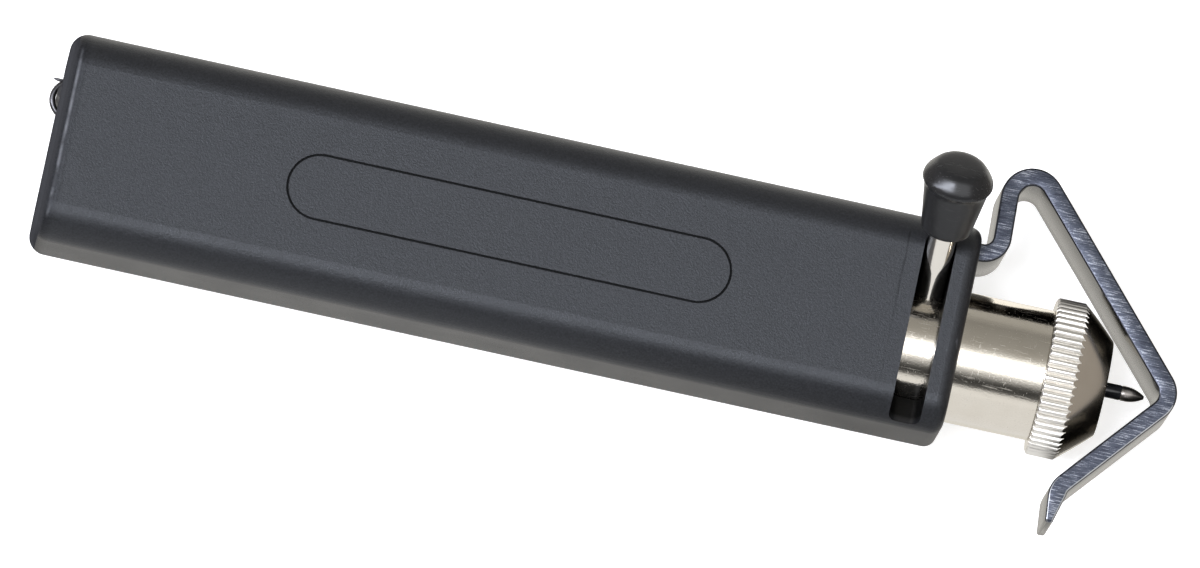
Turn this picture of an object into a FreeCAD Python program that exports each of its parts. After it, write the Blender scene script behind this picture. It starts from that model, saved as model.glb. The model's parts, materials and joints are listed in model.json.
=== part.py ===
import FreeCAD, Part
import math
import operator
import os
from types import SimpleNamespace
import Sketcher

# Round-cable slitter. Millimetres and degrees.
# +X runs along the tool to the hook, +Y to the side where the lever rests, +Z out of the front face.
# The origin is the centre of the handle's flat back face.
# Distances named setback run back from the handle's front face, and those named reach run ahead of it.
# Distances named rise and drop run up and down from the barrel's axis, where no other place is named.

SIZES = {
    # Handle
    "housing_length": 112.8,
    "housing_height": 25.8,
    "housing_depth": 20.8,
    "front_edge_radius": 4.3,
    "back_edge_radius": 6.0,
    "rear_end_radius": 2.2,
    "front_end_radius": 1.5,
    "shell_wall": 2.0,
    "rear_wall": 3.0,
    "outline_length": 55.0,
    "outline_width": 8.2,
    "outline_line": 0.3,
    "outline_depth": 0.3,
    "peg_diameter": 1.6,
    "peg_length": 2.0,
    "peg_setback": 13.4,
    # Shell screws
    "screw_diameter": 2.6,
    "screw_length": 14.0,
    "screw_head_diameter": 5.0,
    "screw_head_height": 1.8,
    "screw_sink": 1.2,
    "screw_recess_length": 2.8,
    "screw_recess_width": 0.7,
    "screw_recess_depth": 1.1,
    "screw_drop": 5.5,
    "screw_rear_inset": 12.0,
    "screw_front_inset": 6.0,
    "boss_diameter": 6.4,
    # Fits
    "fit_gap": 0.02,
    "running_gap": 0.05,
    "slide_gap": 0.15,
    # Barrel
    "axis_drop": 2.05,
    "barrel_diameter": 16.1,
    "barrel_inside": 31.4,
    "barrel_outside": 10.7,
    "barrel_chamfer": 0.6,
    "barrel_end_gap": 0.5,
    "collar_inset": 3.0,
    "collar_width": 3.0,
    "collar_diameter": 12.0,
    "barrel_ring_setback": 17.4,
    "barrel_ring_section": 1.6,
    "nose_diameter": 13.0,
    "nose_length": 6.1,
    "nut_ring_inset": 1.7,
    "nut_ring_section": 1.2,
    # Depth nut
    "nut_length": 7.75,
    "nut_wall": 1.4,
    "nut_chamfer": 0.4,
    "nut_face_diameter": 11.7,
    "knurl_diameter": 19.4,
    "knurl_length": 3.5,
    "knurl_depth": 0.35,
    "knurl_land": 0.1,
    "knurl_teeth": 84,
    # Blade and its clamp screw
    "blade_diameter": 1.87,
    "blade_reach": 5.2,
    "blade_point": 2.0,
    "blade_hold": 12.0,
    "blade_gap": 0.1,
    "blade_screw_diameter": 3.0,
    "blade_screw_inset": 4.2,
    "blade_screw_sink": 0.4,
    "blade_screw_socket": 1.5,
    # Lever
    "lever_angle": 45.0,
    "lever_setback": 4.9,
    "lever_diameter": 3.3,
    "lever_seat": 2.5,
    "lever_length": 22.0,
    "lever_chamfer": 0.4,
    "slot_width": 3.85,
    "slot_margin": 1.9,
    "slot_corner": 1.2,
    "knob_base": 18.5,
    "knob_base_diameter": 6.2,
    "knob_neck": 25.3,
    "knob_neck_diameter": 7.75,
    "knob_rim": 26.7,
    "knob_diameter": 8.75,
    "knob_dome": 2.5,
    "knob_base_chamfer": 0.3,
    "knob_neck_round": 1.0,
    "knob_rim_round": 0.7,
    # Hook strip, by the corners that its bends round off
    "strip_thickness": 2.2,
    "strip_width": 12.5,
    "strip_edge_chamfer": 0.25,
    "shank_rise": 12.2,
    "tail_setback": 64.3,
    "tail_end_drop": 0.8,
    "leg_foot_reach": 2.55,
    "leg_head_reach": 2.0,
    "leg_head_rise": 27.5,
    "apex_reach": 26.85,
    "apex_drop": 0.2,
    "tip_bend_reach": 15.2,
    "tip_bend_drop": 13.95,
    "tip_reach": 15.6,
    "tip_drop": 18.5,
    "tip_land": 0.7,
    "tip_bevel_length": 5.2,
    "tip_bevel_reach": 1.8,
    "tip_round": 0.25,
    "tail_bend": 2.2,
    "foot_bend": 2.2,
    "head_bend": 2.8,
    "apex_bend": 2.6,
    "tip_bend": 2.4,
    # Return spring and its anchor
    "wire_diameter": 0.75,
    "coil_diameter": 4.45,
    "coil_turns": 10,
    "spring_rise": 7.65,
    "eye_stand_out": 1.2,
    "eye_neck": 3.0,
    "eye_play": 0.28,
    "eye_hole_diameter": 2.3,
    "anchor_diameter": 2.0,
    "anchor_length": 10.0,
    "window_gap": 0.4,
    "stop_width": 2.0,
}
TOLERANCE = 1e-4
OVERCUT = 1.0
SLOT_REACH = 40.0
WHOLE_TURN = 360.0


class Size:
    """A length, angle or count, with the sheet expression that gives it."""

    def __init__(self, value, text):
        self.value = value
        self.text = text

    def __add__(self, other):
        return combine(self, "+", other)

    def __radd__(self, other):
        return combine(other, "+", self)

    def __sub__(self, other):
        return combine(self, "-", other)

    def __rsub__(self, other):
        return combine(other, "-", self)

    def __mul__(self, other):
        return combine(self, "*", other)

    def __rmul__(self, other):
        return combine(other, "*", self)

    def __truediv__(self, other):
        return combine(self, "/", other)

    def __neg__(self):
        return combine(0, "-", self)


OPERATORS = {"+": operator.add, "-": operator.sub, "*": operator.mul, "/": operator.truediv}


def as_size(thing):
    return thing if isinstance(thing, Size) else Size(float(thing), f"{float(thing):.12g}")


def combine(left, sign, right):
    left, right = as_size(left), as_size(right)
    return Size(OPERATORS[sign](left.value, right.value), f"({left.text} {sign} {right.text})")


def sine(angle):
    return Size(math.sin(math.radians(angle.value)), f"sin({angle.text})")


def cosine(angle):
    return Size(math.cos(math.radians(angle.value)), f"cos({angle.text})")


doc = FreeCAD.newDocument("cable_slitter")
sheet = doc.addObject("Spreadsheet::Sheet", "Sizes")
for row, (alias, number) in enumerate(SIZES.items(), 1):
    sheet.set(f"A{row}", alias)
    sheet.set(f"B{row}", str(number))
    sheet.setAlias(f"B{row}", alias)
doc.recompute()
s = SimpleNamespace(**{alias: Size(number, f"Sizes.{alias}") for alias, number in SIZES.items()})

# Places that several pieces share
front = s.housing_length / 2
rear = -front
side = s.housing_height / 2
seam = s.housing_depth / 2
axis_y = -s.axis_drop
barrel_radius = s.barrel_diameter / 2
bore_radius = barrel_radius + s.running_gap
barrel_rear = front - s.barrel_inside
barrel_shoulder = front + s.barrel_outside
nose_end = barrel_shoulder + s.nose_length
nose_radius = s.nose_diameter / 2
collar_rear = barrel_rear + s.collar_inset
collar_front = collar_rear + s.collar_width
collar_radius = s.collar_diameter / 2
bore_rear = barrel_rear - s.barrel_end_gap
cavity_rear = rear + s.rear_wall
cavity_front = bore_rear - s.shell_wall
barrel_ring_x = front - s.barrel_ring_setback
barrel_ring_radius = bore_radius - s.fit_gap - s.barrel_ring_section / 2
nut_bore_radius = nose_radius + s.running_gap
nut_ring_x = nose_end - s.nut_ring_inset
nut_ring_radius = nut_bore_radius - s.fit_gap - s.nut_ring_section / 2
nut_rear = barrel_shoulder + s.running_gap
nut_face = nut_rear + s.nut_length
blade_radius = s.blade_diameter / 2
blade_tip = nut_face + s.blade_reach
blade_rear = nose_end - s.blade_hold
blade_screw_x = nose_end - s.blade_screw_inset
lever_x = front - s.lever_setback
lever_radius = s.lever_diameter / 2
strip_half = s.strip_thickness / 2
shank_y = axis_y + s.shank_rise
channel_bottom = shank_y - strip_half - s.slide_gap
channel_top = shank_y + strip_half + s.slide_gap
tail_x = front - s.tail_setback
stop_face = tail_x - strip_half
spring_y = axis_y + s.spring_rise
coil_radius = s.coil_diameter / 2
wire_radius = s.wire_diameter / 2
coil_outside = coil_radius + wire_radius
rear_eye_x = rear + coil_outside - s.eye_stand_out
anchor_radius = s.anchor_diameter / 2
anchor_x = rear_eye_x - coil_radius + wire_radius + anchor_radius + s.running_gap
coil_rear = cavity_rear + wire_radius + s.slide_gap
screw_y = -s.screw_drop
screw_rear_x = rear + s.screw_rear_inset
screw_front_x = cavity_front - s.screw_front_inset
SCREWS = {
    "shell_screw_rear": screw_rear_x,
    "shell_screw_middle": (screw_rear_x + screw_front_x) / 2,
    "shell_screw_front": screw_front_x,
}
PEG_PLACES = (
    (front - s.peg_setback, (axis_y + bore_radius + channel_bottom) / 2),
    (front - s.peg_setback, (axis_y - bore_radius - side) / 2),
)


def bind(thing, **sizes):
    """Binds properties to the sheet; two underscores in a name stand for a dot."""
    for name, size in sizes.items():
        thing.setExpression(name.replace("__", "."), as_size(size).text)


def bind_place(thing, x, y, z):
    bind(thing, Placement__Base__x=x, Placement__Base__y=y, Placement__Base__z=z)


def new_body(label):
    body = doc.addObject("PartDesign::Body", label)
    body.Label = label
    return body


def sketch_on(body, plane, x=0, y=0, z=0):
    """A sketch on one of the body's own planes, moved by a place given in the plane's own axes."""
    sketch = body.newObject("Sketcher::SketchObject", "Sketch")
    support = next(part for part in body.Origin.OriginFeatures if part.Role == plane)
    sketch.AttachmentSupport = [(support, "")]
    sketch.MapMode = "FlatFace"
    bind(sketch, AttachmentOffset__Base__x=x, AttachmentOffset__Base__y=y, AttachmentOffset__Base__z=z)
    return sketch


def vector(x, y, z=0):
    return FreeCAD.Vector(as_size(x).value, as_size(y).value, as_size(z).value)


def constrain(sketch, size, kind, *where):
    index = sketch.addConstraint(Sketcher.Constraint(kind, *where, size.value))
    sketch.setExpression(f"Constraints[{index}]", size.text)


def fix_point(sketch, geometry, end, x, y):
    constrain(sketch, as_size(x), "DistanceX", -1, 1, geometry, end)
    constrain(sketch, as_size(y), "DistanceY", -1, 1, geometry, end)


def outline(sketch, points, arcs=None):
    """A closed outline through the points; arcs gives a middle point for the sides that are round."""
    arcs = arcs or {}
    first = sketch.GeometryCount
    count = len(points)
    for i, start in enumerate(points):
        end = points[(i + 1) % count]
        if i in arcs:
            line = arc_through(vector(*start), vector(*arcs[i]), vector(*end))
        else:
            line = Part.LineSegment(vector(*start), vector(*end))
        sketch.addGeometry(line, False)
    for i, point in enumerate(points):
        own = first + i
        before = first + (i - 1) % count
        join(sketch, "Coincident", before, own, vector(*point))
        fix_point(sketch, own, end_at(sketch, own, vector(*point)), *point)


def arc_through(start, middle, end):
    """An arc through three points, turning the way that sketches keep their arcs."""
    turn = (middle - start).cross(end - middle).z
    return Part.Arc(start, middle, end) if turn > 0 else Part.Arc(end, middle, start)


def end_at(sketch, geometry, place):
    """Which end of a line or arc lies at a place: 1 for its start and 2 for its end."""
    return 1 if sketch.Geometry[geometry].StartPoint.distanceToPoint(place) < TOLERANCE else 2


def join(sketch, kind, first, second, place):
    ends = first, end_at(sketch, first, place), second, end_at(sketch, second, place)
    sketch.addConstraint(Sketcher.Constraint(kind, *ends))


def rectangle(sketch, x1, x2, y1, y2):
    outline(sketch, [(x1, y1), (x2, y1), (x2, y2), (x1, y2)])


def circle(sketch, x, y, radius):
    ring = Part.Circle(vector(x, y), ALONG_Z, radius.value)
    index = sketch.addGeometry(ring, False)
    fix_point(sketch, index, 3, x, y)
    constrain(sketch, radius, "Radius", index)


def stadium(sketch, length, width):
    """A long outline with round ends, centred on the sketch."""
    reach = (length - width) / 2
    radius = width / 2
    first = sketch.GeometryCount
    right_end = Part.Circle(vector(reach, 0), ALONG_Z, radius.value)
    left_end = Part.Circle(vector(-reach, 0), ALONG_Z, radius.value)
    sketch.addGeometry(Part.ArcOfCircle(right_end, -math.pi / 2, math.pi / 2), False)
    sketch.addGeometry(Part.LineSegment(vector(reach, radius), vector(-reach, radius)), False)
    sketch.addGeometry(Part.ArcOfCircle(left_end, math.pi / 2, 3 * math.pi / 2), False)
    sketch.addGeometry(Part.LineSegment(vector(-reach, -radius), vector(reach, -radius)), False)
    for i in range(4):
        sketch.addConstraint(Sketcher.Constraint("Tangent", first + i, 2, first + (i + 1) % 4, 1))
    for end, x in ((first, reach), (first + 2, -reach)):
        fix_point(sketch, end, 3, x, 0)
        constrain(sketch, radius, "Radius", end)


def extrude(body, kind, sketch, length, flip=False, both_ways=False):
    feature = body.newObject(f"PartDesign::{kind}", kind)
    feature.Profile = sketch
    feature.Reversed = flip
    if both_ways:
        feature.SideType = "Symmetric"
    bind(feature, Length=length)
    doc.recompute()
    return feature


def pad(body, sketch, length, flip=False, both_ways=False):
    return extrude(body, "Pad", sketch, length, flip, both_ways)


def pocket(body, sketch, length, flip=False, both_ways=False):
    """Cuts against the sketch's normal, or along it when flipped, and makes sure that it cut."""
    before = body.Shape.Volume
    feature = extrude(body, "Pocket", sketch, length, flip, both_ways)
    if body.Shape.Volume >= before:
        raise RuntimeError(f"{body.Label}: {feature.Name} cuts nothing")
    return feature


def revolve(body, kind, sketch, axis):
    feature = body.newObject(f"PartDesign::{kind}", kind)
    feature.Profile = sketch
    feature.ReferenceAxis = (sketch, [axis])
    feature.Angle = WHOLE_TURN
    doc.recompute()
    return feature


def fillet(body, radius, chosen):
    """Rounds the edges of the body's last feature that the test picks."""
    doc.recompute()
    base = body.Tip
    numbered = enumerate(base.Shape.Edges, 1)
    edges = [f"Edge{i}" for i, edge in numbered if not edge.Degenerated and chosen(edge)]
    if not edges:
        raise RuntimeError(f"{body.Label}: no edges to round")
    feature = body.newObject("PartDesign::Fillet", "Fillet")
    feature.Base = (base, edges)
    bind(feature, Radius=radius)
    doc.recompute()
    return feature


def lies_at(edge, x=None, y=None, z=None):
    """Whether a whole edge lies at the given coordinates."""
    box = edge.BoundBox
    spans = ((box.XMin, box.XMax, x), (box.YMin, box.YMax, y), (box.ZMin, box.ZMax, z))
    return all(place is None or max(abs(low - place.value), abs(high - place.value)) < TOLERANCE
               for low, high, place in spans)


def points_along(edge, direction):
    if not isinstance(edge.Curve, Part.Line):
        return False
    return abs(edge.Curve.Direction.dot(direction)) > 1 - TOLERANCE


ALONG_X = FreeCAD.Vector(1, 0, 0)
ALONG_Y = FreeCAD.Vector(0, 1, 0)
ALONG_Z = FreeCAD.Vector(0, 0, 1)


def make_front_shell():
    body = new_body("front_shell")
    add_shell_walls(body, 1, s.front_edge_radius)
    for x in SCREWS.values():
        pilot = sketch_on(body, "XY_Plane", z=seam)
        circle(pilot, x, screw_y, s.screw_diameter / 2 + s.fit_gap)
        depth = s.screw_length - (seam - s.screw_sink - s.screw_head_height) + s.slide_gap
        pocket(body, pilot, depth, flip=True)
    for x, y in PEG_PLACES:
        peg = sketch_on(body, "XY_Plane", z=seam)
        circle(peg, x, y, s.peg_diameter / 2)
        pad(body, peg, s.peg_length, flip=True)
    cut_lever_slot(body)
    line = sketch_on(body, "XY_Plane", z=s.housing_depth)
    stadium(line, s.outline_length, s.outline_width)
    stadium(line, s.outline_length - 2 * s.outline_line, s.outline_width - 2 * s.outline_line)
    pocket(body, line, s.outline_depth)
    return body


def make_back_shell():
    body = new_body("back_shell")
    add_shell_walls(body, -1, s.back_edge_radius)
    for x in SCREWS.values():
        clearance = sketch_on(body, "XY_Plane", z=seam)
        circle(clearance, x, screw_y, s.screw_diameter / 2 + s.slide_gap)
        pocket(body, clearance, seam)
        counterbore = sketch_on(body, "XY_Plane")
        circle(counterbore, x, screw_y, s.screw_head_diameter / 2 + s.slide_gap)
        pocket(body, counterbore, s.screw_sink + s.screw_head_height, flip=True)
    for x, y in PEG_PLACES:
        hole = sketch_on(body, "XY_Plane", z=seam)
        circle(hole, x, y, s.peg_diameter / 2 + s.fit_gap)
        pocket(body, hole, s.peg_length + s.slide_gap)
    return body


def add_shell_walls(body, outward, edge_radius):
    """One half of the handle; outward is 1 for the front half and -1 for the back half."""
    is_back = outward < 0
    outside = seam + outward * seam
    inside = seam + outward * (seam - s.shell_wall)
    block = sketch_on(body, "XY_Plane", z=seam)
    rectangle(block, rear, front, -side, side)
    pad(body, block, seam, flip=is_back)
    fillet(body, edge_radius, lambda edge: points_along(edge, ALONG_X) and lies_at(edge, z=outside))
    fillet(body, s.rear_end_radius, lambda edge: lies_at(edge, x=rear) and not lies_at(edge, z=seam))
    fillet(body, s.front_end_radius, lambda edge: lies_at(edge, x=front) and not lies_at(edge, z=seam))

    cavity = sketch_on(body, "XY_Plane", z=seam)
    cavity_side = side - s.shell_wall
    rectangle(cavity, cavity_rear, cavity_front, -cavity_side, cavity_side)
    pocket(body, cavity, seam - s.shell_wall, flip=not is_back)
    fillet(body, edge_radius - s.shell_wall,
           lambda edge: points_along(edge, ALONG_X) and lies_at(edge, z=inside))

    for x in SCREWS.values():
        boss = sketch_on(body, "XY_Plane", z=seam)
        circle(boss, x, screw_y, s.boss_diameter / 2)
        pad(body, boss, seam - s.shell_wall / 2, flip=is_back)
    add_hook_stop(body, outward)

    channel = sketch_on(body, "XY_Plane", z=seam)
    rectangle(channel, stop_face, front + OVERCUT, channel_bottom, channel_top)
    pocket(body, channel, s.strip_width / 2 + s.slide_gap, flip=not is_back)
    cut_barrel_bore(body)
    cut_spring_exit(body, is_back)


def add_hook_stop(body, outward):
    """A rib beside the spring that the hook's tail rests against."""
    beside_spring = coil_outside + s.slide_gap
    rib = sketch_on(body, "XY_Plane", z=seam + outward * beside_spring)
    rectangle(rib, stop_face - s.stop_width, stop_face, spring_y, side - s.shell_wall / 2)
    pad(body, rib, s.strip_width / 2 - beside_spring, flip=outward < 0)


def cut_barrel_bore(body):
    """The barrel's bearing, with a collar left standing that runs in the barrel's groove."""
    profile = sketch_on(body, "XY_Plane", y=axis_y, z=seam)
    collar_bore = collar_radius + s.running_gap
    outline(profile, [
        (front + OVERCUT, 0),
        (front + OVERCUT, bore_radius),
        (collar_front, bore_radius),
        (collar_front, collar_bore),
        (collar_rear, collar_bore),
        (collar_rear, bore_radius),
        (bore_rear, bore_radius),
        (bore_rear, 0),
    ])
    revolve(body, "Groove", profile, "H_Axis")


def cut_spring_exit(body, is_back):
    """The window for the spring's rear eye, and the seat of the cross pin, open to the rear."""
    window = sketch_on(body, "XY_Plane", z=seam)
    reach = coil_outside + s.window_gap
    rectangle(window, rear - OVERCUT, cavity_rear + OVERCUT, spring_y - reach, spring_y + reach)
    pocket(body, window, wire_radius + s.window_gap, flip=not is_back)
    seat = sketch_on(body, "XY_Plane", z=seam)
    seat_radius = anchor_radius + s.fit_gap
    outline(seat, [
        (rear - OVERCUT, spring_y - seat_radius),
        (anchor_x, spring_y - seat_radius),
        (anchor_x, spring_y + seat_radius),
        (rear - OVERCUT, spring_y + seat_radius),
    ], arcs={1: (anchor_x + seat_radius, spring_y)})
    pocket(body, seat, s.anchor_length / 2 + s.slide_gap, flip=not is_back)


def cut_lever_slot(body):
    """A slot across the barrel, whose ends lie along the lever at both ends of its swing."""
    wedge = sketch_on(body, "YZ_Plane", x=axis_y, y=seam, z=lever_x)
    sin_a, cos_a = sine(s.lever_angle), cosine(s.lever_angle)
    far_y = s.slot_margin * cos_a + SLOT_REACH * sin_a
    far_z = SLOT_REACH * cos_a - s.slot_margin * sin_a
    outline(wedge, [(0, -(s.slot_margin / sin_a)), (far_y, far_z), (-far_y, far_z)])
    pocket(body, wedge, s.slot_width, both_ways=True)
    along_rest = vector(0, sin_a, cos_a)
    along_end = vector(0, -sin_a, cos_a)

    def is_slot_corner(edge):
        on_a_side = lies_at(edge, x=lever_x - s.slot_width / 2) or lies_at(edge, x=lever_x + s.slot_width / 2)
        return on_a_side and (points_along(edge, along_rest) or points_along(edge, along_end))

    fillet(body, s.slot_corner, is_slot_corner)


def make_shell_screw(label, x):
    body = new_body(label)
    head_radius = s.screw_head_diameter / 2
    shank_radius = s.screw_diameter / 2
    head_under = s.screw_sink + s.screw_head_height
    tip = head_under + s.screw_length
    profile = sketch_on(body, "XZ_Plane", x=x, z=-screw_y)
    outline(profile, [
        (0, s.screw_sink),
        (head_radius, s.screw_sink),
        (head_radius, head_under),
        (shank_radius, head_under),
        (shank_radius, tip - shank_radius),
        (0, tip),
    ])
    revolve(body, "Revolution", profile, "V_Axis")
    recess = sketch_on(body, "XY_Plane", x=x, y=screw_y, z=s.screw_sink)
    far, near = s.screw_recess_length / 2, s.screw_recess_width / 2
    outline(recess, [
        (near, near), (near, far), (-near, far), (-near, near), (-far, near), (-far, -near),
        (-near, -near), (-near, -far), (near, -far), (near, -near), (far, -near), (far, near),
    ])
    pocket(body, recess, s.screw_recess_depth, flip=True)
    return body


def turned(label, profile_points, arcs=None):
    """A piece turned about the barrel's axis, from points of place along X and radius."""
    body = new_body(label)
    profile = sketch_on(body, "XY_Plane", y=axis_y, z=seam)
    outline(profile, profile_points, arcs)
    revolve(body, "Revolution", profile, "H_Axis")
    return body


def ring_groove(x, section, ring_radius):
    """Points of a groove that holds a rubber ring, between the two points where it leaves the surface."""
    half = section / 2 + s.running_gap
    floor = ring_radius - section / 2 - s.fit_gap
    return [(x - half, floor), (x + half, floor)], half


def make_barrel():
    ring_floor, ring_half = ring_groove(barrel_ring_x, s.barrel_ring_section, barrel_ring_radius)
    nut_floor, nut_half = ring_groove(nut_ring_x, s.nut_ring_section, nut_ring_radius)
    blade_hole = blade_radius + s.fit_gap
    blank = turned("barrel_blank", [
        (barrel_rear, 0),
        (barrel_rear, barrel_radius - s.barrel_chamfer),
        (barrel_rear + s.barrel_chamfer, barrel_radius),
        (collar_rear - s.running_gap, barrel_radius),
        (collar_rear - s.running_gap, collar_radius),
        (collar_front + s.running_gap, collar_radius),
        (collar_front + s.running_gap, barrel_radius),
        (barrel_ring_x - ring_half, barrel_radius),
        *ring_floor,
        (barrel_ring_x + ring_half, barrel_radius),
        (barrel_shoulder, barrel_radius),
        (barrel_shoulder, nose_radius),
        (nut_ring_x - nut_half, nose_radius),
        *nut_floor,
        (nut_ring_x + nut_half, nose_radius),
        (nose_end, nose_radius),
        (nose_end, blade_hole),
        (blade_rear, blade_hole),
        (blade_rear, 0),
    ])
    lever_hole = doc.addObject("Part::Cylinder", "lever_hole")
    bind(lever_hole, Radius=lever_radius + s.fit_gap, Height=barrel_radius + OVERCUT - s.lever_seat)
    lay_along_lever(lever_hole, s.lever_seat)
    screw_hole = doc.addObject("Part::Cylinder", "blade_screw_hole")
    bind(screw_hole, Radius=s.blade_screw_diameter / 2 + s.fit_gap, Height=nose_radius + OVERCUT)
    bind_place(screw_hole, blade_screw_x, axis_y, seam)
    holes = doc.addObject("Part::MultiFuse", "barrel_holes")
    holes.Shapes = [lever_hole, screw_hole]
    return cut("barrel", blank, holes)


def cut(label, base, tool):
    result = doc.addObject("Part::Cut", label)
    result.Label = label
    result.Base = base
    result.Tool = tool
    return result


def lay_along_lever(thing, distance=0):
    """Turns a piece's own Z up the lever, and puts its origin at a distance from the barrel's axis."""
    thing.Placement.Rotation = FreeCAD.Rotation(ALONG_X, -s.lever_angle.value)
    bind(thing, Placement__Rotation__Angle=-s.lever_angle)
    y = axis_y + distance * sine(s.lever_angle)
    z = seam + distance * cosine(s.lever_angle)
    bind_place(thing, lever_x, y, z)


def make_rubber_ring(label, x, ring_radius, section):
    """A ring of square section."""
    half = section / 2
    return turned(label, [
        (x - half, ring_radius - half),
        (x + half, ring_radius - half),
        (x + half, ring_radius + half),
        (x - half, ring_radius + half),
    ])


def make_lever_pin():
    body = new_body("lever_pin")
    profile = sketch_on(body, "XZ_Plane")
    outline(profile, [
        (0, s.lever_seat),
        (lever_radius - s.lever_chamfer, s.lever_seat),
        (lever_radius, s.lever_seat + s.lever_chamfer),
        (lever_radius, s.lever_length - s.lever_chamfer),
        (lever_radius - s.lever_chamfer, s.lever_length),
        (0, s.lever_length),
    ])
    revolve(body, "Revolution", profile, "V_Axis")
    lay_along_lever(body)
    return body


def make_lever_knob():
    body = new_body("lever_knob")
    profile = sketch_on(body, "XZ_Plane")
    hole_radius = lever_radius + s.fit_gap
    base_radius = s.knob_base_diameter / 2
    rim_radius = s.knob_diameter / 2
    top = s.knob_rim + s.knob_dome
    cap_radius = (rim_radius * rim_radius + s.knob_dome * s.knob_dome) / (2 * s.knob_dome)
    lean = math.asin(rim_radius.value / cap_radius.value) / 2
    cap_centre = top - cap_radius
    cap_middle = (cap_radius.value * math.sin(lean), cap_centre.value + cap_radius.value * math.cos(lean))
    outline(profile, [
        (0, s.lever_length + s.fit_gap),
        (hole_radius, s.lever_length + s.fit_gap),
        (hole_radius, s.knob_base),
        (base_radius - s.knob_base_chamfer, s.knob_base),
        (base_radius, s.knob_base + s.knob_base_chamfer),
        (s.knob_neck_diameter / 2, s.knob_neck),
        (rim_radius, s.knob_rim),
        (0, top),
    ], arcs={6: cap_middle})
    revolve(body, "Revolution", profile, "V_Axis")
    for height, radius in ((s.knob_neck, s.knob_neck_round), (s.knob_rim, s.knob_rim_round)):
        fillet(body, radius, lambda edge: is_outer_ring(edge, height, hole_radius))
    lay_along_lever(body)
    return body


def is_outer_ring(edge, height, least_radius):
    ring = isinstance(edge.Curve, Part.Circle) and lies_at(edge, z=height)
    return ring and edge.Curve.Radius > least_radius.value + TOLERANCE


def make_depth_nut():
    knurl_radius = s.knurl_diameter / 2
    cone_start = nut_rear + s.knurl_length
    cone_radius = knurl_radius - s.knurl_depth
    blade_hole = blade_radius + s.blade_gap
    inner_face = nut_face - s.nut_wall
    body = turned("depth_nut", [
        (nut_rear, nut_bore_radius),
        (nut_rear, knurl_radius - s.nut_chamfer),
        (nut_rear + s.nut_chamfer, knurl_radius),
        (cone_start - s.knurl_depth, knurl_radius),
        (cone_start, cone_radius),
        (nut_face, s.nut_face_diameter / 2),
        (nut_face, blade_hole),
        (inner_face, blade_hole),
        (inner_face, nut_bore_radius),
    ])
    tooth_gap = sketch_on(body, "YZ_Plane", x=axis_y, y=seam, z=nut_rear)
    half_gap = knurl_radius * math.pi / s.knurl_teeth - s.knurl_land / 2
    outline(tooth_gap, [
        (0, knurl_radius - s.knurl_depth),
        (2 * half_gap, knurl_radius + s.knurl_depth),
        (-2 * half_gap, knurl_radius + s.knurl_depth),
    ])
    gap = pocket(body, tooth_gap, s.knurl_length, flip=True)
    knurl = body.newObject("PartDesign::PolarPattern", "Knurl")
    knurl.Originals = [gap]
    knurl.Axis = (tooth_gap, ["N_Axis"])
    knurl.Angle = WHOLE_TURN
    bind(knurl, Occurrences=s.knurl_teeth)
    body.Tip = knurl
    doc.recompute()
    return body


def make_blade():
    point_start = blade_tip - s.blade_point
    length, radius = s.blade_point.value, blade_radius.value
    sweep = (length ** 2 + radius ** 2) / (2 * radius)
    half = length / 2
    middle = (point_start + half, math.sqrt(sweep ** 2 - half ** 2) - sweep + radius)
    return turned("blade", [
        (blade_rear, 0),
        (blade_rear, blade_radius),
        (point_start, blade_radius),
        (blade_tip, 0),
    ], arcs={2: middle})


def make_blade_screw():
    start = blade_radius + s.fit_gap
    end = nose_radius - s.blade_screw_sink
    rod = doc.addObject("Part::Cylinder", "blade_screw_rod")
    bind(rod, Radius=s.blade_screw_diameter / 2, Height=end - start)
    bind_place(rod, blade_screw_x, axis_y, seam + start)
    socket = doc.addObject("Part::Prism", "blade_screw_socket")
    bind(socket, Circumradius=s.blade_screw_socket / 2, Height=s.blade_screw_socket + OVERCUT)
    bind_place(socket, blade_screw_x, axis_y, seam + end - s.blade_screw_socket)
    return cut("blade_screw", rod, socket)


def bend_points(before, corner, after, radius):
    """Where a bend of the given radius leaves its two runs, and the middle of its arc."""
    back = (before - corner).normalize()
    ahead = (after - corner).normalize()
    half_angle = back.getAngle(ahead) / 2
    run = radius / math.tan(half_angle)
    middle = (back + ahead).normalize() * (radius / math.sin(half_angle) - radius)
    return corner + back * run, corner + middle, corner + ahead * run


def make_hook():
    body = new_body("hook")
    corners = [
        (tail_x, spring_y - s.tail_end_drop),
        (tail_x, shank_y),
        (front + s.leg_foot_reach, shank_y),
        (front + s.leg_head_reach, axis_y + s.leg_head_rise),
        (front + s.apex_reach, axis_y - s.apex_drop),
        (front + s.tip_bend_reach, axis_y - s.tip_bend_drop),
        (front + s.tip_reach, axis_y - s.tip_drop),
    ]
    path = sketch_on(body, "XY_Plane", z=seam)
    draw_bent_line(path, corners, (s.tail_bend, s.foot_bend, s.head_bend, s.apex_bend, s.tip_bend))
    section = sketch_on(body, "XZ_Plane", x=tail_x, y=seam, z=s.tail_end_drop - spring_y)
    half_width, bevel = s.strip_width / 2, s.strip_edge_chamfer
    outline(section, [
        (strip_half - bevel, -half_width), (strip_half, bevel - half_width),
        (strip_half, half_width - bevel), (strip_half - bevel, half_width),
        (bevel - strip_half, half_width), (-strip_half, half_width - bevel),
        (-strip_half, bevel - half_width), (bevel - strip_half, -half_width),
    ])
    strip = body.newObject("PartDesign::AdditivePipe", "Strip")
    strip.Profile = section
    strip.Spine = path
    doc.recompute()
    bevel_tip(body, vector(*corners[-2]), vector(*corners[-1]))
    hole = sketch_on(body, "YZ_Plane", x=spring_y, y=seam, z=tail_x)
    circle(hole, coil_radius - s.eye_play, 0, s.eye_hole_diameter / 2)
    pocket(body, hole, s.strip_thickness + OVERCUT, both_ways=True)
    return body


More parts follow.
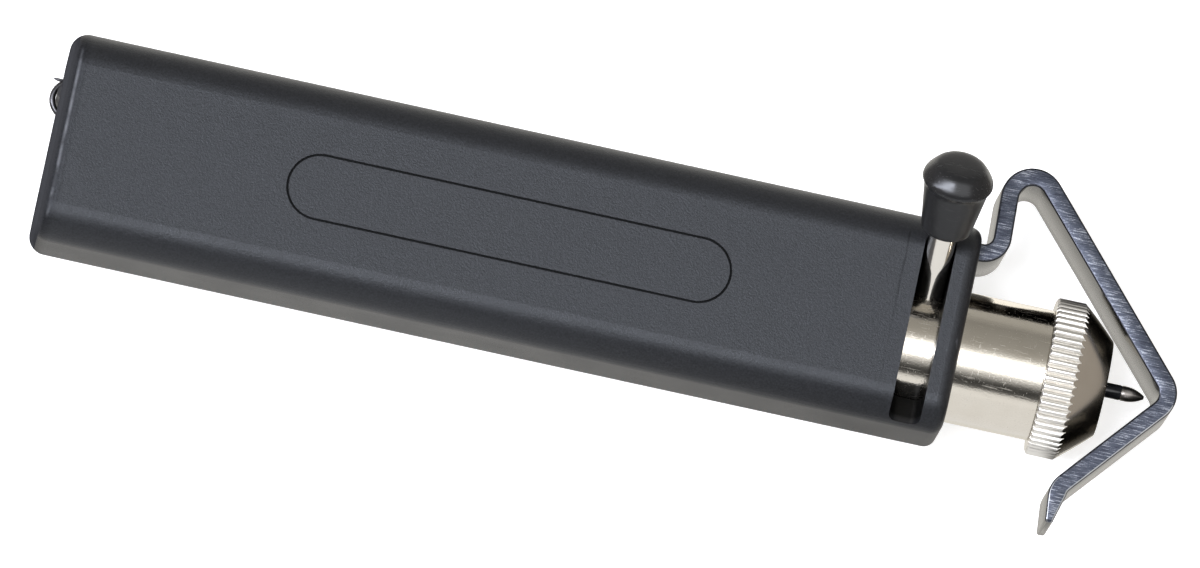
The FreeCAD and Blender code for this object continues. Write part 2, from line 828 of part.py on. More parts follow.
def draw_bent_line(sketch, corners, radii):
    """Straight runs between corners, which bends of the given radii round off."""
    places = [vector(*corner) for corner in corners]
    at = places[0]
    runs, joints = [], []
    for i, radius in enumerate(radii, 1):
        start, middle, end = bend_points(places[i - 1], places[i], places[i + 1], radius.value)
        run = sketch.addGeometry(Part.LineSegment(at, start), False)
        bend = sketch.addGeometry(arc_through(start, middle, end), False)
        constrain(sketch, radius, "Radius", bend)
        runs.append(run)
        joints += [(run, bend, start), (bend, bend + 1, end)]
        at = end
    runs.append(sketch.addGeometry(Part.LineSegment(at, places[-1]), False))
    for first, second, place in joints:
        join(sketch, "Tangent", first, second, place)
    fix_point(sketch, runs[0], 1, *corners[0])
    fix_point(sketch, runs[-1], 2, *corners[-1])
    for before, after, corner in zip(runs, runs[1:], corners[1:]):
        mark = sketch.addGeometry(Part.Point(vector(*corner)), True)
        fix_point(sketch, mark, 1, *corner)
        for run in (before, after):
            sketch.addConstraint(Sketcher.Constraint("PointOnObject", mark, 1, run))


def bevel_tip(body, bend, tip):
    """Grinds the strip's outer side away towards the tip, down to a narrow land with rounded corners."""
    along = (tip - bend).normalize()
    outward = FreeCAD.Vector(-along.y, along.x, 0)
    land = tip + outward * (s.tip_land - strip_half).value
    start = tip - along * s.tip_bevel_length.value + outward * s.tip_bevel_reach.value
    beyond = along * OVERCUT
    clear = outward * s.strip_width.value
    wedge = sketch_on(body, "XY_Plane", z=seam)
    corners = [land, start, start + clear, land + beyond + clear, land + beyond]
    outline(wedge, [(point.x, point.y) for point in corners])
    pocket(body, wedge, s.strip_width + OVERCUT, both_ways=True)
    inner_corner = tip - outward * strip_half.value

    def is_tip_corner(edge):
        across = points_along(edge, ALONG_Z)
        place = edge.CenterOfMass
        flat = FreeCAD.Vector(place.x, place.y, 0)
        return across and min(flat.distanceToPoint(land), flat.distanceToPoint(inner_corner)) < TOLERANCE

    fillet(body, s.tip_round, is_tip_corner)


def make_return_spring():
    """An extension spring: a coil of square wire along X, whose two ends run on into round eyes."""
    front_eye_x = tail_x + strip_half - coil_radius + wire_radius + s.eye_play
    coil_front = front_eye_x - s.eye_neck
    length = coil_front - coil_rear
    helix = doc.addObject("Part::Helix", "coil_line")
    bind(helix, Pitch=length / s.coil_turns, Height=length, Radius=coil_radius)
    wire = doc.addObject("Part::RegularPolygon", "coil_wire")
    wire.Polygon = 4
    bind(wire, Circumradius=wire_radius)
    flat_outside = FreeCAD.Rotation(ALONG_Z, 45)
    wire.Placement.Rotation = FreeCAD.Rotation(ALONG_X, 90) * flat_outside
    bind_place(wire, coil_radius, 0, 0)
    doc.recompute()
    coil = doc.addObject("Part::Sweep", "coil")
    coil.Sections = [wire]
    coil.Spine = (helix, [f"Edge{i}" for i in range(1, len(helix.Shape.Edges) + 1)])
    coil.Solid = True
    coil.Frenet = True
    coil.Placement.Rotation = FreeCAD.Rotation(FreeCAD.Vector(1, -1, 1), -120)
    bind_place(coil, coil_rear, spring_y, seam)
    into_coil = wire_radius / 2
    spring = doc.addObject("Part::MultiFuse", "return_spring")
    spring.Label = "return_spring"
    spring.Shapes = [
        coil,
        *make_spring_end("rear", rear_eye_x, rear_eye_x, coil_rear + into_coil, 90),
        *make_spring_end("front", front_eye_x, coil_front - into_coil, front_eye_x, -90),
    ]
    return spring


def make_spring_end(name, eye_x, neck_start, neck_end, turn):
    """Half a ring for the eye, turned to face out of the coil, and the straight neck that joins it on."""
    eye = doc.addObject("Part::Torus", f"{name}_eye")
    bind(eye, Radius1=coil_radius, Radius2=wire_radius)
    eye.Angle3 = WHOLE_TURN / 2
    eye.Placement.Rotation = FreeCAD.Rotation(ALONG_Z, turn)
    bind_place(eye, eye_x, spring_y, seam)
    neck = doc.addObject("Part::Cylinder", f"{name}_neck")
    bind(neck, Radius=wire_radius, Height=neck_end - neck_start)
    neck.Placement.Rotation = FreeCAD.Rotation(ALONG_Y, 90)
    bind_place(neck, neck_start, spring_y - coil_radius, seam)
    return eye, neck


def make_anchor_pin():
    pin = doc.addObject("Part::Cylinder", "spring_anchor_pin")
    pin.Label = "spring_anchor_pin"
    bind(pin, Radius=anchor_radius, Height=s.anchor_length)
    bind_place(pin, anchor_x, spring_y, seam - s.anchor_length / 2)
    return pin


def write_pieces(pieces):
    doc.recompute()
    for thing in doc.Objects:
        if "Invalid" in thing.State or "Error" in thing.State:
            raise RuntimeError(f"{thing.Label} failed: {thing.State}")
    for piece in pieces:
        if piece.Shape.isNull() or not piece.Shape.isValid() or len(piece.Shape.Solids) != 1:
            raise RuntimeError(f"{piece.Label} is not one valid solid")
    os.makedirs("parts", exist_ok=True)
    for piece in pieces:
        piece.Shape.exportStep(os.path.join("parts", f"{piece.Label}.step"))
        print(f"{piece.Label}: {piece.Shape.Volume:.1f} mm3")


write_pieces([
    make_front_shell(),
    make_back_shell(),
    *[make_shell_screw(label, x) for label, x in SCREWS.items()],
    make_anchor_pin(),
    make_return_spring(),
    make_hook(),
    make_barrel(),
    make_rubber_ring("barrel_ring", barrel_ring_x, barrel_ring_radius, s.barrel_ring_section),
    make_lever_pin(),
    make_lever_knob(),
    make_blade(),
    make_blade_screw(),
    make_depth_nut(),
    make_rubber_ring("nut_ring", nut_ring_x, nut_ring_radius, s.nut_ring_section),
])
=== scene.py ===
import json
import math

import bmesh
import bpy
from mathutils import Matrix, Vector


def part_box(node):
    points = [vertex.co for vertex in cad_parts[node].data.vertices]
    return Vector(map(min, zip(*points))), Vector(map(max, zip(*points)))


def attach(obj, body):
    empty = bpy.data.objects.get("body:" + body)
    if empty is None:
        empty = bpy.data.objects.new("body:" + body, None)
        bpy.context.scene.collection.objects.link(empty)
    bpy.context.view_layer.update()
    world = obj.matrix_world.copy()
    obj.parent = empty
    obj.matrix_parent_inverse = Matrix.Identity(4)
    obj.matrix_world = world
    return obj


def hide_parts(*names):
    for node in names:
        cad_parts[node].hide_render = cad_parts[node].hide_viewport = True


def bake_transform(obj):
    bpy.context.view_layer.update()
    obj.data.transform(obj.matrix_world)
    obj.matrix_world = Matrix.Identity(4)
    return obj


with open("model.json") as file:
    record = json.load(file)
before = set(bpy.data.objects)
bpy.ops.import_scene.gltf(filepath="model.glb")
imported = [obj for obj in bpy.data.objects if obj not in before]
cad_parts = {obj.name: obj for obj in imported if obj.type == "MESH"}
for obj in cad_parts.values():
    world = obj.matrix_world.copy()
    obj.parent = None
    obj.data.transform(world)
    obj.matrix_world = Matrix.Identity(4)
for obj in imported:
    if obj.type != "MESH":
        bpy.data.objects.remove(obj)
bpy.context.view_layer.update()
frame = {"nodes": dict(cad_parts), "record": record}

# Lengths are in millimetres, in the frame of model.glb, unless a name ends in _M for metres
MM = 0.001
WHOLE_TURN = 2 * math.pi

# Where the photograph was taken from, and where the barrel leaves the handle in it
IMAGE_SIZE = (1200, 568)
PIXELS_PER_MM = 8.24
TOOL_SLOPE = math.radians(12.3)
LEAN_TO_HANDLE_END = math.radians(1.9)
LEAN_TO_LOWER_SIDE = math.radians(9.15)
BARREL_EXIT_PIXEL = (954.5, 356.75)
CAMERA_DISTANCE_M = 2.5
CAMERA_CLIP_M = (0.1, 20)
SENSOR_WIDTH = 36.0

# Places that the CAD nodes give
SHELL_LOW, SHELL_HIGH = [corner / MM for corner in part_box("front_shell")]
BACK_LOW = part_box("back_shell")[0] / MM
BARREL_LOW, BARREL_HIGH = [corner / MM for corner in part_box("barrel")]
NUT_LOW, NUT_HIGH = [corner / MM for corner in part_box("depth_nut")]
BLADE_LOW, BLADE_HIGH = [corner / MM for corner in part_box("blade")]
SPRING_LOW, SPRING_HIGH = [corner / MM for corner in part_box("return_spring")]
PIN_LOW, PIN_HIGH = [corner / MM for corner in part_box("lever_pin")]
FRONT = SHELL_HIGH.x
REAR = SHELL_LOW.x
TOP = SHELL_HIGH.z
UPPER_SIDE = SHELL_HIGH.y
LOWER_SIDE = SHELL_LOW.y
AXIS_Y = (BARREL_LOW.y + BARREL_HIGH.y) / 2
AXIS_Z = (BARREL_LOW.z + BARREL_HIGH.z) / 2
LEVER_X = (PIN_LOW.x + PIN_HIGH.x) / 2
LEVER_ANGLE = math.radians(45)
LEVER_DIRECTION = Vector((0, math.sin(LEVER_ANGLE), math.cos(LEVER_ANGLE)))


def add_camera():
    to_camera = Vector((
        -math.sin(LEAN_TO_HANDLE_END) * math.cos(LEAN_TO_LOWER_SIDE),
        -math.sin(LEAN_TO_LOWER_SIDE),
        math.cos(LEAN_TO_HANDLE_END) * math.cos(LEAN_TO_LOWER_SIDE),
    ))
    along_tool = Vector((1, 0, 0))
    along_tool = (along_tool - to_camera * along_tool.dot(to_camera)).normalized()
    across_tool = to_camera.cross(along_tool)
    right = along_tool * math.cos(TOOL_SLOPE) + across_tool * math.sin(TOOL_SLOPE)
    up = across_tool * math.cos(TOOL_SLOPE) - along_tool * math.sin(TOOL_SLOPE)
    metres_per_pixel = MM / PIXELS_PER_MM
    aside = (BARREL_EXIT_PIXEL[0] - IMAGE_SIZE[0] / 2) * metres_per_pixel
    below = (BARREL_EXIT_PIXEL[1] - IMAGE_SIZE[1] / 2) * metres_per_pixel
    barrel_exit = Vector((FRONT, AXIS_Y, AXIS_Z)) * MM
    centre = barrel_exit - right * aside + up * below
    data = bpy.data.cameras.new("photo_camera")
    data.sensor_width = SENSOR_WIDTH
    data.lens = SENSOR_WIDTH * CAMERA_DISTANCE_M / (IMAGE_SIZE[0] * metres_per_pixel)
    data.clip_start, data.clip_end = CAMERA_CLIP_M
    camera = bpy.data.objects.new("photo_camera", data)
    turn = Matrix((right, up, to_camera)).transposed().to_4x4()
    camera.matrix_world = Matrix.Translation(centre + to_camera * CAMERA_DISTANCE_M) @ turn
    bpy.context.scene.collection.objects.link(camera)
    bpy.context.scene.camera = camera


# Material nodes


def new_material(name):
    material = bpy.data.materials.new(name)
    material.use_nodes = True
    tree = material.node_tree
    return material, tree, tree.nodes["Principled BSDF"]


def add_node(tree, kind, inputs=None, **settings):
    made = tree.nodes.new(kind)
    for name, value in settings.items():
        setattr(made, name, value)
    for name, value in (inputs or {}).items():
        set_socket(tree, made.inputs[name], value)
    return made


def set_socket(tree, socket, value):
    if isinstance(value, bpy.types.NodeSocket):
        tree.links.new(value, socket)
    else:
        socket.default_value = value


def connect(tree, shader, **inputs):
    """Sets the shader's sockets; an underscore in a name stands for a space."""
    for name, value in inputs.items():
        set_socket(tree, shader.inputs[name.replace("_", " ")], value)


def object_mm(tree, scale=(1, 1, 1), turn=(0, 0, 0)):
    """Object coordinates in millimetres, stretched by a scale."""
    place = add_node(tree, "ShaderNodeTexCoord")
    stretched = add_node(tree, "ShaderNodeMapping", {
        "Vector": place.outputs["Object"],
        "Rotation": turn,
        "Scale": [share / MM for share in scale],
    })
    return stretched.outputs["Vector"]


def surface_mm(tree, scale=(1, 1, 1)):
    """The piece's own surface coordinates, which are in millimetres, stretched by a scale."""
    place = add_node(tree, "ShaderNodeTexCoord")
    stretched = add_node(tree, "ShaderNodeMapping", {"Vector": place.outputs["UV"], "Scale": scale})
    return stretched.outputs["Vector"]


def split(tree, vector):
    made = add_node(tree, "ShaderNodeSeparateXYZ", {"Vector": vector})
    return [made.outputs[axis] for axis in "XYZ"]


def calculate(tree, operation, first, *others):
    """Takes the values together one after the other."""
    for other in others:
        first = add_node(tree, "ShaderNodeMath", {0: first, 1: other}, operation=operation).outputs["Value"]
    return first


def add_up(tree, *values):
    return calculate(tree, "ADD", *values)


def minus(tree, first, second):
    return calculate(tree, "SUBTRACT", first, second)


def product(tree, *values):
    return calculate(tree, "MULTIPLY", *values)


def largest(tree, *values):
    return calculate(tree, "MAXIMUM", *values)


def single(tree, operation, value):
    return add_node(tree, "ShaderNodeMath", {0: value}, operation=operation).outputs["Value"]


def noise(tree, place, size, detail=2.0, roughness=0.5):
    made = add_node(tree, "ShaderNodeTexNoise", {
        "Vector": place, "Scale": 1 / size, "Detail": detail, "Roughness": roughness,
    })
    return made.outputs["Fac"]


def spread(tree, value, low_in, high_in, low_out=0.0, high_out=1.0):
    made = add_node(tree, "ShaderNodeMapRange", {
        "Value": value, "From Min": low_in, "From Max": high_in, "To Min": low_out, "To Max": high_out,
    })
    return made.outputs["Result"]


def near(tree, value, place, half_width, soft):
    """1 where a value is within half_width of a place, softly falling to 0."""
    away = single(tree, "ABSOLUTE", minus(tree, value, place))
    return spread(tree, away, half_width, half_width + soft, 1.0, 0.0)


def mix_colour(tree, share, low, high, blend_type="MIX"):
    made = add_node(tree, "ShaderNodeMix", data_type="RGBA", blend_type=blend_type)
    for name, value in (("Factor", share), ("A", low), ("B", high)):
        wanted = "VALUE" if name == "Factor" else "RGBA"
        socket = next(item for item in made.inputs if item.name == name and item.type == wanted)
        set_socket(tree, socket, (*value, 1) if isinstance(value, tuple) else value)
    return next(item for item in made.outputs if item.type == "RGBA")


def bump(tree, height, strength, distance, under=None):
    inputs = {"Height": height, "Strength": strength, "Distance": distance * MM}
    if under is not None:
        inputs["Normal"] = under
    return add_node(tree, "ShaderNodeBump", inputs).outputs["Normal"]


# Handle plastic
HANDLE_COLOURS = (0.0045, 0.0046, 0.0052), (0.0185, 0.0190, 0.0215)
# Painted sheen: a lighter colour for the rear rounding, whose gloss is taken away
HANDLE_PAINTED_SHEEN = (0.046, 0.047, 0.051)
# Painted highlight for a thin line where the front face meets the rear rounding
HANDLE_PAINTED_HIGHLIGHT = (0.155, 0.16, 0.175)
HANDLE_SCUFFED = (0.11, 0.112, 0.125)
# Painted shade for the inner walls and the outline groove, also the colour of the mould line
HANDLE_SHADE_AND_LINE = (0.005, 0.005, 0.005)
HANDLE_TINT = (0.88, 0.93, 1.0, 1)
HANDLE_EDGE_RADIUS = 4.3
MOULD_LINE_X = FRONT - 8.85
HIGHLIGHT_LINE_X = REAR + 1.5
HIGHLIGHT_LINE_SIDE = UPPER_SIDE - 3.4
# Middle and half sizes of a box that holds the oval outline
OUTLINE_X, OUTLINE_HALF_LENGTH, OUTLINE_HALF_WIDTH = REAR + 50, 38, 4.3
# The height above the back over which the painted shade on the inner walls sets in
PAINTED_SHADE_Z = (7.0, 10.0)


def handle_depth(tree, x, y, z):
    """How far a point of the front shell lies below the handle's outside."""
    past_side = minus(tree, single(tree, "ABSOLUTE", y), UPPER_SIDE - HANDLE_EDGE_RADIUS)
    past_top = minus(tree, z, TOP - HANDLE_EDGE_RADIUS)
    squares = []
    for past in (past_side, past_top):
        outside = largest(tree, past, 0.0)
        squares.append(product(tree, outside, outside))
    below_skin = minus(tree, HANDLE_EDGE_RADIUS, single(tree, "SQRT", add_up(tree, *squares)))
    return calculate(tree, "MINIMUM", below_skin, minus(tree, FRONT, x), minus(tree, x, REAR))


def mould_line(tree, place, on_top, patchy):
    """A thin wandering line across the front face, behind the slot."""
    x, y, _ = split(tree, place)
    wander = product(tree, minus(tree, noise(tree, place, 3.0), 0.5), 0.35)
    line = near(tree, add_up(tree, x, wander), MOULD_LINE_X, 0.05, 0.16)
    fading = spread(tree, y, -2.0, 5.0, 0.25, 1.0)
    return product(tree, line, on_top, fading, spread(tree, patchy, 0, 1, 0.4, 1.0))


def painted_highlight_line(tree, place, patchy):
    """A painted highlight: a light line where the front face rounds off to the rear end."""
    x, y, z = split(tree, place)
    line = near(tree, x, HIGHLIGHT_LINE_X, 0.03, 0.24)
    between_sides = near(tree, y, 0, HIGHLIGHT_LINE_SIDE, 1.2)
    above = spread(tree, z, TOP - 1.5, TOP - 1.0)
    return product(tree, line, between_sides, above, spread(tree, patchy, 0, 1, 0.15, 1.0))


def front_scuffs(tree, place, on_top):
    """Small light marks on the bridge ahead of the slot."""
    x, _, _ = split(tree, place)
    marks = noise(tree, object_mm(tree, (1, 0.6, 1), (0, 0, 0.9)), 0.8, detail=3.0)
    return product(tree, spread(tree, marks, 0.66, 0.72), spread(tree, x, FRONT - 2.2, FRONT - 1.2), on_top)


def outline_groove_shade(tree, place):
    """The floor of the oval outline in the front face, where shade is painted."""
    x, y, z = split(tree, place)
    below_face = spread(tree, z, TOP - 0.2, TOP - 0.08, 1.0, 0.0)
    above_wall = spread(tree, z, TOP - 0.5, TOP - 0.4)
    in_width = near(tree, y, 0, OUTLINE_HALF_WIDTH, 0.2)
    in_length = near(tree, x, OUTLINE_X, OUTLINE_HALF_LENGTH, 1)
    return product(tree, below_face, above_wall, in_width, in_length)


def make_handle_plastic():
    """Near black with a half gloss on a fine moulded grain, with painted shade on the inner walls and in the
    outline groove, and a painted sheen and a painted highlight line at the rear end.
    """
    material, tree, shader = new_material("handle_plastic")
    place = object_mm(tree)
    x, y, z = split(tree, place)
    grain = noise(tree, place, 0.24, detail=3.0, roughness=0.75)
    cloud = noise(tree, place, 7.0, detail=3.0)
    patchy = spread(tree, noise(tree, place, 2.4, detail=3.0), 0.35, 0.6)
    on_top = spread(tree, z, TOP - 0.5, TOP - 0.2)
    # Painted sheen on the rear rounding, standing in for its reflection
    rear_painted_sheen = spread(tree, x, REAR + 0.7, REAR + 1.3, 0.8, 0.0)
    # Painted shade: inner walls, such as the slot's, and the outline groove's floor turn near black and lose
    # most of their gloss
    painted_inner_shade = product(tree, spread(tree, handle_depth(tree, x, y, z), 0.45, 1.3), spread(tree, z, *PAINTED_SHADE_Z))
    line = product(tree, mould_line(tree, place, on_top, patchy), 0.45)
    dark = largest(tree, painted_inner_shade, outline_groove_shade(tree, place), line)
    colour = mix_colour(tree, spread(tree, grain, 0.3, 0.7), *HANDLE_COLOURS)
    colour = mix_colour(tree, rear_painted_sheen, colour, HANDLE_PAINTED_SHEEN)
    colour = mix_colour(tree, product(tree, painted_highlight_line(tree, place, patchy), 0.75), colour, HANDLE_PAINTED_HIGHLIGHT)
    colour = mix_colour(tree, product(tree, front_scuffs(tree, place, on_top), 0.6), colour, HANDLE_SCUFFED)
    colour = mix_colour(tree, dark, colour, HANDLE_SHADE_AND_LINE)
    on_low_side = spread(tree, y, LOWER_SIDE + 0.5, LOWER_SIDE + 3.5, 1.0, 0.0)
    dulled = product(tree, on_low_side, spread(tree, x, FRONT - 60, FRONT - 10, 0.2, 0.7))
    dulled = largest(tree, dulled, spread(tree, x, REAR + 0.9, REAR + 2.6, 1.0, 0.0))
    gloss = product(tree, spread(tree, dark, 0, 1, 0.47, 0.06), minus(tree, 1.0, dulled))
    connect(tree, shader, Base_Color=colour, Roughness=spread(tree, cloud, 0.3, 0.7, 0.37, 0.42),
            Normal=bump(tree, grain, 0.7, 0.06), Specular_IOR_Level=gloss, Specular_Tint=HANDLE_TINT)
    return material


# Other materials: the darkest and lightest of a surface's own pattern, and what marks it
KNOB_COLOURS = (0.010, 0.010, 0.0105), (0.016, 0.016, 0.0165)
KNOB_MARK = (0.030, 0.030, 0.030)
KNOB_TINT = (0.95, 0.97, 1.0, 1)
KNOB_LIP = 25.75
NICKEL_COLOURS = (0.70, 0.652, 0.572), (0.79, 0.747, 0.672)
NICKEL_PALE = (0.88, 0.865, 0.835)
GROUND_COLOURS = (0.032, 0.036, 0.050), (0.090, 0.100, 0.130)
# Painted glints on the brightest grinding lines of the hook's ground edges
GROUND_PAINTED_GLINT = (0.36, 0.38, 0.43)
HOOK_COLOURS = (0.058, 0.056, 0.053), (0.082, 0.079, 0.074)
BLADE_TIP_COLOURS = (0.21, 0.195, 0.18), (0.34, 0.32, 0.30)
BLADE_TIP_END = (0.07, 0.066, 0.064)
RUBBER_COLOURS = (0.010, 0.010, 0.010), (0.020, 0.020, 0.020)


def make_knob_plastic():
    """Black and half glossy, with faint rub marks."""
    material, tree, shader = new_material("knob_plastic")
    place = object_mm(tree)
    _, y, z = split(tree, place)
    outward = add_up(tree, product(tree, minus(tree, y, AXIS_Y), LEVER_DIRECTION.y),
                     product(tree, minus(tree, z, AXIS_Z), LEVER_DIRECTION.z))
    on_side = spread(tree, outward, KNOB_LIP - 0.6, KNOB_LIP, 1.0, 0.0)
    cloud = noise(tree, place, 1.4, detail=4.0)
    grain = noise(tree, place, 0.25)
    marks = spread(tree, noise(tree, object_mm(tree, (0.5, 4, 4), (0.6, 0.5, -0.6)), 1.0), 0.58, 0.68)
    colour = mix_colour(tree, cloud, *KNOB_COLOURS)
    colour = mix_colour(tree, product(tree, marks, 0.5), colour, KNOB_MARK)
    rough = add_up(tree, spread(tree, cloud, 0.3, 0.7, 0.19, 0.26), product(tree, marks, 0.08),
                   product(tree, on_side, 0.1))
    connect(tree, shader, Base_Color=colour, Normal=bump(tree, grain, 0.015, 0.03), Roughness=rough,
            Specular_IOR_Level=0.38, Specular_Tint=KNOB_TINT)
    return material


def make_nickel(name, roughness, turning, worn, pale=0.0):
    """Warm bright plate with turning marks and, where worn, hairline scratches."""
    material, tree, shader = new_material(name)
    place = object_mm(tree)
    cloud = noise(tree, place, 2.6, detail=4.0)
    colour = mix_colour(tree, cloud, *NICKEL_COLOURS)
    colour = mix_colour(tree, pale, colour, NICKEL_PALE)
    round_marks = noise(tree, object_mm(tree, (9, 0.25, 0.25)), 1.0, detail=3.0, roughness=0.6)
    long_marks = noise(tree, object_mm(tree, (0.35, 6, 6), (0.2, 0.3, 0.5)), 1.0, roughness=0.6)
    short_marks = noise(tree, object_mm(tree, (6, 1.2, 3), (0.4, 0.9, 0.3)), 1.0, roughness=0.6)
    scratches = largest(tree, spread(tree, long_marks, 0.60, 0.68), spread(tree, short_marks, 0.62, 0.70))
    normal = bump(tree, round_marks, turning, 0.02)
    normal = bump(tree, scratches, -0.4 * worn, 0.03, normal)
    normal = bump(tree, noise(tree, place, 1.1, detail=1.0), 0.06 * worn, 0.06, normal)
    normal = bump(tree, noise(tree, place, 0.2, detail=3.0), 0.3 * worn, 0.02, normal)
    rough = spread(tree, cloud, 0.3, 0.7, roughness - 0.025, roughness + 0.025)
    rough = add_up(tree, rough, product(tree, scratches, 0.18 * worn))
    connect(tree, shader, Base_Color=colour, Metallic=1.0, Roughness=rough, Normal=normal)
    return material


def make_ground_steel():
    """The strip's ground edges: dark and bluish, with fine grinding lines along the tool's length, whose
    brightest parts are painted glints.
    """
    material, tree, shader = new_material("hook_ground_edge")
    lines = noise(tree, object_mm(tree, (0.05, 1, 1), (0, 0, math.radians(-15))), 0.10, 1.0, 0.6)
    crossing = noise(tree, object_mm(tree, (0.08, 1, 1), (0, 0, math.radians(-10))), 0.08, 1.0)
    speckle = noise(tree, object_mm(tree), 0.16)
    cloud = noise(tree, object_mm(tree), 1.8)
    level = add_up(tree, product(tree, lines, 0.5), product(tree, crossing, 0.3), product(tree, speckle, 0.2),
                   product(tree, minus(tree, cloud, 0.5), 0.2))
    colour = mix_colour(tree, spread(tree, level, 0.35, 0.58), *GROUND_COLOURS)
    # Painted glints where the grinding lines are strongest
    colour = mix_colour(tree, spread(tree, level, 0.55, 0.65), colour, GROUND_PAINTED_GLINT)
    connect(tree, shader, Base_Color=colour, Metallic=0.9, Normal=bump(tree, lines, 0.3, 0.03),
            Roughness=spread(tree, level, 0.3, 0.7, 0.45, 0.3))
    return material


def make_hook_steel():
    """The strip's rolled faces: blackened satin steel with a few specks."""
    material, tree, shader = new_material("hook_steel")
    fine = noise(tree, surface_mm(tree, (0.12, 1, 1)), 0.25, detail=3.0)
    cloud = noise(tree, surface_mm(tree), 3.0, detail=4.0)
    specks = spread(tree, noise(tree, surface_mm(tree), 0.5, detail=1.0), 0.70, 0.76)
    rough = add_up(tree, spread(tree, fine, 0.3, 0.7, 0.18, 0.22), product(tree, specks, 0.3))
    connect(tree, shader, Base_Color=mix_colour(tree, cloud, *HOOK_COLOURS), Metallic=1.0, Roughness=rough,
            Normal=bump(tree, fine, 0.03, 0.03))
    return material


def make_plain_steel(name, low, high, roughness, metallic=1.0):
    material, tree, shader = new_material(name)
    place = object_mm(tree)
    cloud = noise(tree, place, 0.9, detail=4.0)
    fine = noise(tree, place, 0.12)
    rough = spread(tree, cloud, 0.3, 0.7, roughness - 0.05, roughness + 0.05)
    connect(tree, shader, Base_Color=mix_colour(tree, cloud, low, high), Metallic=metallic, Roughness=rough,
            Normal=bump(tree, fine, 0.08, 0.02))
    return material


def make_blade_tip():
    """Ground point: fine rings round the blade, darker towards its end."""
    material, tree, shader = new_material("blade_ground_tip")
    rings = noise(tree, object_mm(tree, (1, 0.05, 0.05)), 0.09, detail=3.0, roughness=0.7)
    x, _, _ = split(tree, object_mm(tree))
    near_end = spread(tree, x, BLADE_HIGH.x - 1.6, BLADE_HIGH.x - 0.2, 0.0, 0.6)
    colour = mix_colour(tree, spread(tree, rings, 0.3, 0.7), *BLADE_TIP_COLOURS)
    colour = mix_colour(tree, near_end, colour, BLADE_TIP_END)
    connect(tree, shader, Base_Color=colour, Metallic=1.0, Roughness=0.34,
            Normal=bump(tree, rings, 0.15, 0.03))
    return material


def make_rubber():
    material, tree, shader = new_material("ring_rubber")
    cloud = noise(tree, object_mm(tree), 0.3, detail=3.0)
    connect(tree, shader, Base_Color=mix_colour(tree, cloud, *RUBBER_COLOURS),
            Roughness=spread(tree, cloud, 0.3, 0.7, 0.6, 0.8))
    return material


# Meshes


def new_piece(name, mesh_points, faces, node, looks):
    """A smooth-shaded piece, given in millimetres, that stands for a CAD node."""
    mesh = bpy.data.meshes.new(name)
    mesh.from_pydata([Vector(point) * MM for point in mesh_points], [], faces)
    for look in looks:
        mesh.materials.append(MATERIALS[look])
    mesh.validate()
    mesh.shade_smooth()
    piece = bpy.data.objects.new(name, mesh)
    bpy.context.scene.collection.objects.link(piece)
    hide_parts(node)
    return piece


def smooth_below(piece, degrees):
    """Smooth shading, but for edges sharper than an angle."""
    mesh = piece.data
    mesh.shade_smooth()
    mesh.set_sharp_from_angle(angle=math.radians(degrees))


def face_outward(piece):
    shape = bmesh.new()
    shape.from_mesh(piece.data)
    bmesh.ops.recalc_face_normals(shape, faces=shape.faces)
    shape.to_mesh(piece.data)
    shape.free()


def apply_modifiers(piece):
    graph = bpy.context.evaluated_depsgraph_get()
    graph.update()
    mesh = bpy.data.meshes.new_from_object(piece.evaluated_get(graph))
    piece.modifiers.clear()
    piece.data = mesh


def closed_rings(rings):
    """Points and faces of a skin over closed rings of equal length, with both ends shut."""
    count = len(rings[0])
    points = [point for ring in rings for point in ring]
    faces = []
    for row in range(len(rings) - 1):
        start, next_start = row * count, (row + 1) * count
        for i in range(count):
            after = (i + 1) % count
            faces.append((start + i, start + after, next_start + after, next_start + i))
    faces.append(tuple(reversed(range(count))))
    last = (len(rings) - 1) * count
    faces.append(tuple(range(last, last + count)))
    return points, faces


def joined_rings(rings):
    """Points and faces of a closed turned skin, whose last ring joins its first."""
    count = len(rings[0])
    rows = len(rings)
    points = [point for ring in rings for point in ring]
    faces = []
    for row in range(rows):
        start, next_start = row * count, (row + 1) % rows * count
        for i in range(count):
            after = (i + 1) % count
            faces.append((start + i, next_start + i, next_start + after, start + after))
    return points, faces


def turned_rings(profile, segments, reshape=None):
    """Rings about the barrel's axis, by place along X and radius; reshape may change a radius by its turn."""
    rings = []
    for x, radius in profile:
        ring = []
        for i in range(segments):
            angle = WHOLE_TURN * i / segments
            own = reshape(radius, i / segments) if reshape else radius
            ring.append((x, AXIS_Y + own * math.sin(angle), AXIS_Z + own * math.cos(angle)))
        rings.append(ring)
    return rings


def rounded_path(corners, radii, steps):
    """A line through corners that arcs of the given radii round off."""
    path = [corners[0]]
    for before, corner, after, radius in zip(corners, corners[1:], corners[2:], radii):
        back, ahead = (before - corner).normalized(), (after - corner).normalized()
        half = back.angle(ahead) / 2
        centre = corner + (back + ahead).normalized() * (radius / math.sin(half))
        start = corner + back * (radius / math.tan(half)) - centre
        end = corner + ahead * (radius / math.tan(half)) - centre
        for i in range(steps + 1):
            path.append(centre + start.slerp(end, i / steps).normalized() * radius)
    path.append(corners[-1])
    return path


def path_lengths(path):
    lengths = [0.0]
    for first, second in zip(path, path[1:]):
        lengths.append(lengths[-1] + (second - first).length)
    return lengths


